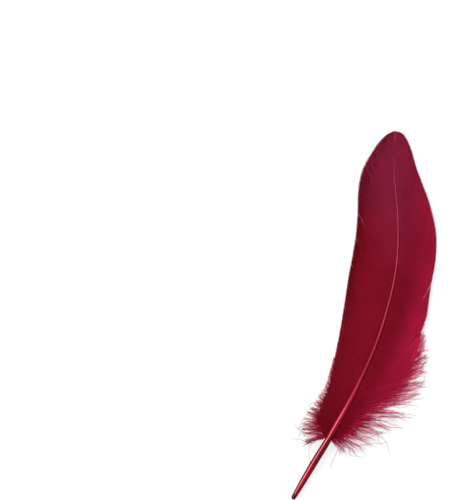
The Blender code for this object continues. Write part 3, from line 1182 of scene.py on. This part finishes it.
@dataclass(frozen=True)
class Down:
    """The loose down of one side: curved strands, most of them fringed with fine barbules, some bare.

    Roots are shares of the shaft. Every strays-th strand is a stray hair, stouter and less fringed.
    """

    name: str
    table: BarbTable
    seed: int
    strands: int
    first: float
    last: float
    lift: float
    crowding: float = 1.0
    strays: int = 11
    barbules: int = 240
    steps: int = 34
    lock_sizes: tuple[int, int] = (3, 12)
    bow: float = 2.4
    curl: float = 0.75
    stray_stoutness: float = 1.45
    stray_fringe: float = 0.25
    bare_from: float = 0.74
    lean: Span = (18.0, 68.0)
    lowest_root: float = 0.1762
    barbule_length: float = 1.5
    barbule_radius: float = 0.0170
    strand_radius: float = 0.062

    def build(self, material: Material) -> bpy.types.Object:
        """Makes the down.

        Args:
            material: The down's material.

        Returns:
            The piece.
        """
        rng = np.random.default_rng(self.seed)
        roots = self.first + (self.last - self.first) * np.linspace(0.0, 1.0, self.strands) ** self.crowding
        roots = roots + rng.normal(0.0, 0.0008, self.strands)
        skin = Skin()
        first = 0
        while first < self.strands:
            last = min(self.strands, first + int(rng.integers(*self.lock_sizes)))
            lock = Lock(
                root=float(roots[first:last].mean()),
                cling=rng.uniform(0.25, 0.88),
                bow=rng.normal(0.0, self.bow),
                reach=rng.uniform(0.78, 1.05),
                rise=self.lift * rng.uniform(0.1, 1.0),
            )
            for k in range(first, last):
                stray = k % (self.strands // self.strays) == 3
                way = replace(lock, cling=0.1, bow=2.6 * lock.bow, reach=1.15, curl=4.0) if stray else lock
                strand = self.strand(k, max(float(roots[k]), self.lowest_root), way, rng)
                self.add_stem(skin, strand, self.stray_stoutness if stray else 1.0)
                loose = float(np.linalg.norm(strand.line[-1] - strand.line[np.argmax(strand.free > 0.0)]))
                fringe = self.barbules * min(1.0, 0.20 + loose / 13.0)
                fringe = int((self.stray_fringe if stray else 1.0) * fringe)
                self.add_barbules(skin, strand, fringe, rng)
            first = last
        return skin.piece(self.name, material)

    def strand(self, number: int, root: float, lock: Lock, rng: Random) -> Strand:
        """Finds the way of one strand, which starts inside the web.

        Args:
            number: Its number.
            root: Its root, as a share of the shaft.
            lock: The lock that it clings to.
            rng: The source of its waves.

        Returns:
            The strand.
        """
        surface = self.table.surface
        hooked = float(self.table.hooked(np.array([root]))[0])
        start = max(0.02, hooked - 0.12)
        end = hooked + (1.0 - hooked) * lock.reach * (1.0 - 0.40 * rng.random() ** 2.0)
        shares = start + (end - start) * np.linspace(0.0, 1.0, self.steps + 1)
        free = np.clip((shares - hooked) / max(1.0 - hooked, 0.05), 0.0, 1.0)
        both = np.array([root, max(lock.root, self.lowest_root)])
        along, across = self.table.lines(both, np.stack([shares, shares]))
        held = lock.cling * ease(free / 0.75)
        along = along[0] + (along[1] - along[0]) * held
        across = across[0] + (across[1] - across[0]) * held
        ahead = np.stack([np.gradient(along), np.gradient(across)])
        ahead = ahead / np.hypot(ahead[0], ahead[1])
        room = min(1.0, float(np.hypot(along[-1] - along[0], across[-1] - across[0])) / 9.0) ** 1.5
        loose = 1.0 - 0.5 * lock.cling
        bow = (lock.bow + loose * rng.normal(0.0, 0.6 * self.bow)) * free**1.9
        curled = loose * self.curl * lock.curl * free * wander(free, rng.uniform(0.9, 1.8), rng, 2)
        aside = room * (bow + curled) + 0.10 * wander(shares, 0.5, rng, 2)
        inside = ease((shares - start) / max(hooked - start, 0.02))
        rise = rng.uniform(-0.42, 0.04) * (1.0 - inside) + rng.uniform(-0.25, 0.40) * inside
        rise = rise + room * lock.rise * rng.uniform(0.7, 1.0) * np.sin(math.pi * 0.75 * free)
        rise = rise + 0.4 * room * free * wander(free, 0.9, rng, 2)
        low, high = np.array(cad_box[0]) / MM + (0.1, 0.1, 0.12), np.array(cad_box[1]) / MM - 0.1
        for bent in (1.0, 0.7, 0.45, 0.2, 0.0):
            u, v = along - bent * ahead[1] * aside, across + bent * ahead[0] * aside
            plan = surface.shaft.plan_at(u, v)
            if np.all((plan > low[:2]) & (plan < high[:2])):
                break
        level = surface.middle(u, v, np.ones_like(free)) + rise
        return Strand(number, np.clip(np.column_stack([plan, level]), low, high), free)

    def add_stem(self, skin: Skin, strand: Strand, stoutness: float) -> None:
        """Adds a strand's own tapering stem, four-sided.

        Args:
            skin: Where the faces go.
            strand: The strand.
            stoutness: Its thickness against that of the others.
        """
        line, grown = strand.line, strand.grown
        _, aside, up = strand.frames()
        radius = stoutness * self.strand_radius * (1.0 - 0.35 * grown)
        radius = (radius * np.clip(8.0 * (1.0 - grown), 0.15, 1.0))[:, None]
        across, over = aside * radius, up * radius
        rings = np.stack([line + across, line + over, line - across, line - over], 1)
        index = np.arange(len(line) * 4).reshape(-1, 4)
        quads = np.concatenate([tube_quads(index, (0, 3, 2, 1)), [index[0], index[-1, ::-1]]])
        own = paired(distances(line)[:, None], strand.number + 0.1 * np.arange(4)[None])
        row = (strand.number + 0.5 * np.arange(4)[None] / 4) / self.strands
        skin.add(rings, own, paired(0.02 * grown[:, None] + 0.46 * strand.free[:, None], row), quads)

    def add_barbules(self, skin: Skin, strand: Strand, count: int, rng: Random) -> None:
        """Adds a strand's barbules, each a fine spindle that leans towards the strand's tip.

        Args:
            skin: Where the faces go.
            strand: The strand.
            count: How many barbules it has.
            rng: The source of their places and directions.
        """
        number, line, free, grown = strand.number, strand.line, strand.free, strand.grown
        inner = 0.8 * float(grown[np.argmax(free > 0.0)])
        bare = float(np.interp(self.bare_from, free, grown))
        at = inner + (bare - inner) * rng.uniform(0.0, 1.0, count) ** 1.3
        root, ahead, aside, up = (
            np.column_stack([np.interp(at, grown, values[:, k]) for k in range(3)])
            for values in (line, *strand.frames())
        )
        turn = rng.uniform(0.0, 2 * math.pi, count)
        out = aside * np.cos(turn)[:, None] + 0.6 * up * np.sin(turn)[:, None]
        lean = np.radians(rng.uniform(*self.lean, count))[:, None]
        loose = np.interp(at, grown, free)
        span = float(np.linalg.norm(np.diff(line, axis=0), axis=1).sum())
        longest = self.barbule_length * (0.35 + 0.65 * min(1.0, span / 10.0))
        length = longest * rng.uniform(0.45, 1.2, count) * (1.0 - 0.85 * loose)
        first = ahead * np.cos(lean) + out * np.sin(lean)
        second = ahead * np.cos(0.6 * lean) + out * np.sin(0.6 * lean) + rng.normal(0.0, 0.22, (count, 3))
        middle = root + first * (0.45 * length)[:, None]
        tip = middle + second * (0.55 * length)[:, None]
        low, high = np.array(cad_box[0]) / MM, np.array(cad_box[1]) / MM
        middle = np.clip(middle, low + 0.06, high - 0.06)
        tip = np.clip(tip, low + 0.04, high - 0.04)
        radius = self.barbule_radius * rng.uniform(0.7, 1.2, count)
        ring = []
        for angle in (0.0, 120.0, 240.0):
            spread = aside * math.cos(math.radians(angle)) + up * math.sin(math.radians(angle))
            ring.append(middle + spread * radius[:, None])
        points = np.stack([root, *ring, tip], axis=1)
        base = np.arange(count)[:, None, None] * 5
        faces = np.array([[0, 2, 1], [0, 3, 2], [0, 1, 3], [4, 1, 2], [4, 2, 3], [4, 3, 1]])[None]
        step = np.array([0.0, 0.5, 0.5, 0.5, 1.0])
        own = paired(length[:, None] * step[None], number + at[:, None])
        row = (number + 0.5 + 0.5 * at[:, None]) / self.strands
        chart = paired(0.505 + 0.4 * loose[:, None] + 0.08 * step[None], row)
        skin.add(points, own, chart, triangles=(base + faces).reshape(-1, 3))


@dataclass(frozen=True)
class Studio:
    """Table, lamps and camera."""

    shaft: Shaft
    camera_height: float = 2400.0
    subject_height: float = 5.0
    sensor: float = 36.0
    table_half: float = 3.0
    table_glow: float = 0.80
    room_light: float = 0.30
    lit_place: Triple = (0.012, 0.085, 0.0)

    def build(self) -> None:
        """Sets up everything that isn't the feather."""
        self.table()
        self.lamps()
        self.camera()

    def table(self) -> None:
        """Makes the white table top, which glows like a light table, so that gaps in the down are white."""
        mesh = bpy.data.meshes.new("table_top")
        half = self.table_half
        corners = [(-half, -half, 0.0), (half, -half, 0.0), (half, half, 0.0), (-half, half, 0.0)]
        mesh.from_pydata(corners, [], [(0, 1, 2, 3)])
        paper = bpy.data.materials.new("white_paper")
        paper.use_nodes = True
        Graph(paper.node_tree).feed(paper.node_tree.nodes["Principled BSDF"], {
            "Base Color": (0.20, 0.20, 0.20, 1.0), "Roughness": 0.9, "Specular IOR Level": 0.1,
            "Emission Color": (1.0, 1.0, 1.0, 1.0), "Emission Strength": self.table_glow,
        })
        mesh.materials.append(paper)
        put("table_top", mesh)

    def lamps(self) -> None:
        """Makes the soft studio light: a bright room, a large panel overhead and a narrow one at the left."""
        world = bpy.data.worlds.new("white_room")
        world.use_nodes = True
        room = {"Color": (1.0, 1.0, 1.0, 1.0), "Strength": self.room_light}
        Graph(world.node_tree).feed(world.node_tree.nodes["Background"], room)
        bpy.context.scene.world = world
        middle = Vector(self.lit_place)
        for name, place, (wide, deep), power in (
            ("panel_overhead", (0.25, 0.95, 1.45), (1.6, 1.1), 11.0),
            ("strip_left", (-0.70, 0.26, 0.80), (1.1, 0.36), 11.0),
        ):
            lamp = bpy.data.lights.new(name, "AREA")
            lamp.shape = "RECTANGLE"
            lamp.size, lamp.size_y = wide, deep
            lamp.energy = power
            holder = put(name, lamp)
            holder.location = place
            holder.rotation_euler = (middle - Vector(place)).to_track_quat("-Z", "Y").to_euler()

    def camera(self) -> None:
        """Hangs the camera over the table so that the feather lies where the photograph shows it."""
        across = TIP_PIXEL[0] - QUILL_END_PIXEL[0]
        upward = QUILL_END_PIXEL[1] - TIP_PIXEL[1]
        roll = math.atan2(across, upward)
        mm_per_pixel = self.shaft.straight / math.hypot(across, upward)
        right = (PIXELS_WIDE / 2 - QUILL_END_PIXEL[0]) * mm_per_pixel
        up = (QUILL_END_PIXEL[1] - PIXELS_HIGH / 2) * mm_per_pixel
        x = right * math.cos(roll) - up * math.sin(roll) - self.shaft.origin[0]
        y = right * math.sin(roll) + up * math.cos(roll) - self.shaft.origin[1]
        data = bpy.data.cameras.new("camera")
        data.sensor_width = self.sensor
        distance = self.camera_height - self.subject_height
        data.lens = self.sensor * distance / (PIXELS_HIGH * mm_per_pixel)
        data.clip_start, data.clip_end = 0.01, 20.0
        camera = put("camera", data)
        camera.location = (x * MM, y * MM, self.camera_height * MM)
        camera.rotation_euler = (0.0, 0.0, roll)
        bpy.context.scene.camera = camera


def main() -> None:
    """Builds the feather, piece by piece, and the studio round it."""
    logging.basicConfig(level=logging.INFO, format="%(name)s %(message)s")
    bpy.context.scene.view_settings.view_transform = "Standard"
    shaft = Shaft()
    surface = WebSurface(shaft)
    left = BarbTable(Side.LEFT, surface, LEFT_ROWS, (
        Split(0.641, 0.71, 0.25), Split(0.558, 0.85, 0.25),
        Split(0.480, 0.85, 0.20), Split(0.388, 0.80, 0.25),
    ))
    right = BarbTable(Side.RIGHT, surface, RIGHT_ROWS, (Split(0.462, 0.69, 0.40), Split(0.362, 0.86, 0.30)))
    effects = Effects.build()
    silk, fluff = WebFinish(effects), DownFinish(effects)
    # the right web's copy: painted light at its margin and loosened ends, less painted shade in the splits
    silk_with_painted_light = replace(
        silk, margin=(0.06, 0.43), painted_rim_shading=(0.46, 0.0100, 0.052), ends=(0.52, 0.0115, 0.062), crease_shade_strength=0.10
    )
    shaft.build(HornFinish(effects).material("horn"))
    Web(left, seed=3).build(silk.material("web_left"))
    Web(right, seed=5).build(silk_with_painted_light.material("web_right"))
    # the left down is a copy painted darker; the right one keeps the painted light
    down_painted_darker = replace(fluff, brighter=(0.7, 3.0), haze_and_painted_glow=(0.62, 0.045, 0.130)).material("down_left")
    down_painted_brighter = fluff.material("down_right")
    Down(
        "down_left", left, seed=61, strands=168, first=0.1765, last=0.290,
        lift=1.2, crowding=2.2, lock_sizes=(2, 6), curl=1.1,
    ).build(down_painted_darker)
    Down(
        "down_right_low", right, seed=22, strands=122, first=0.1765, last=0.350,
        lift=0.5, crowding=1.7, bow=3.2, curl=1.1, strays=15,
    ).build(down_painted_brighter)
    Down(
        "down_right_high", right, seed=43, strands=112, first=0.1775, last=0.356,
        lift=2.0, crowding=0.75,
    ).build(down_painted_brighter)
    Studio(shaft).build()


if __name__ == "__main__":
    main()
